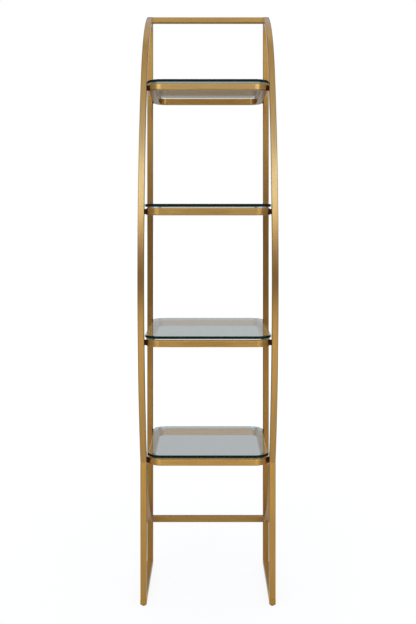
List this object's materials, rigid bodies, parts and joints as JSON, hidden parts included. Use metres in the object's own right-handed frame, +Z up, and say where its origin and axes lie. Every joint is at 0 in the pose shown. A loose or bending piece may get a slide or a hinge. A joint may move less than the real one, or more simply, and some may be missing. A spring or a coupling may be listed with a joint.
{
  "type": "etagere",
  "caption": "Tall bow-front etagere of brass-finished square tube with glass shelves on rounded tube rings.",
  "frame": {"origin": "on the floor, under the middle of the overall width and depth", "axes": "+X to the viewer's right, +Y to the back, +Z up; the bows face -Y"},
  "size_m": [0.406, 0.4278, 1.836],
  "materials": {
    "brass_tube": "brushed and lacquered",
    "shelf_glass": "clear, ground edges",
    "clear_bumper": "clear soft plastic",
    "dark_nylon": "moulded",
    "black_glide": "moulded",
    "zinc_steel": "zinc plated"
  },
  "bodies": {
    "frame": {"left_rear_post": "brass_tube", "right_rear_post": "brass_tube", "left_bow": "brass_tube", "right_bow": "brass_tube", "left_front_leg": "brass_tube", "right_front_leg": "brass_tube", "left_foot_bar": "brass_tube", "right_foot_bar": "brass_tube", "top_cross_bar": "brass_tube", "lower_cross_bar": "brass_tube", "shelf_ring_1": "brass_tube", "shelf_ring_2": "brass_tube", "shelf_ring_3": "brass_tube", "shelf_ring_4": "brass_tube", "post_caps": "brass_tube", "foot_bar_caps": "brass_tube", "hole_caps": "brass_tube", "ring_spacers_1": "dark_nylon", "ring_spacers_2": "dark_nylon", "ring_spacers_3": "dark_nylon", "ring_spacers_4": "dark_nylon", "frame_bolts": "zinc_steel", "bar_plugs": "zinc_steel", "ring_nuts": "zinc_steel", "glide_nuts": "zinc_steel", "glass_bumpers": "clear_bumper"},
    "glass_shelf_1_loose": {"glass_shelf_1": "shelf_glass"},
    "glass_shelf_2_loose": {"glass_shelf_2": "shelf_glass"},
    "glass_shelf_3_loose": {"glass_shelf_3": "shelf_glass"},
    "glass_shelf_4_loose": {"glass_shelf_4": "shelf_glass"},
    "left_front_glide_turned": {"left_front_glide": "black_glide"},
    "left_rear_glide_turned": {"left_rear_glide": "black_glide"},
    "right_front_glide_turned": {"right_front_glide": "black_glide"},
    "right_rear_glide_turned": {"right_rear_glide": "black_glide"}
  },
  "joints": [
    {"name": "glass_shelf_1_lift", "type": "slide", "parent": "frame", "child": "glass_shelf_1_loose", "axis": [0, 0, 1], "range_m": [0, 0.15]},
    {"name": "glass_shelf_2_lift", "type": "slide", "parent": "frame", "child": "glass_shelf_2_loose", "axis": [0, 0, 1], "range_m": [0, 0.15]},
    {"name": "glass_shelf_3_lift", "type": "slide", "parent": "frame", "child": "glass_shelf_3_loose", "axis": [0, 0, 1], "range_m": [0, 0.15]},
    {"name": "glass_shelf_4_lift", "type": "slide", "parent": "frame", "child": "glass_shelf_4_loose", "axis": [0, 0, 1], "range_m": [0, 0.15]},
    {"name": "left_front_glide_level", "type": "slide", "parent": "frame", "child": "left_front_glide_turned", "axis": [0, 0, -1], "range_m": [0, 0.008]},
    {"name": "left_rear_glide_level", "type": "slide", "parent": "frame", "child": "left_rear_glide_turned", "axis": [0, 0, -1], "range_m": [0, 0.008]},
    {"name": "right_front_glide_level", "type": "slide", "parent": "frame", "child": "right_front_glide_turned", "axis": [0, 0, -1], "range_m": [0, 0.008]},
    {"name": "right_rear_glide_level", "type": "slide", "parent": "frame", "child": "right_rear_glide_turned", "axis": [0, 0, -1], "range_m": [0, 0.008]}
  ]
}
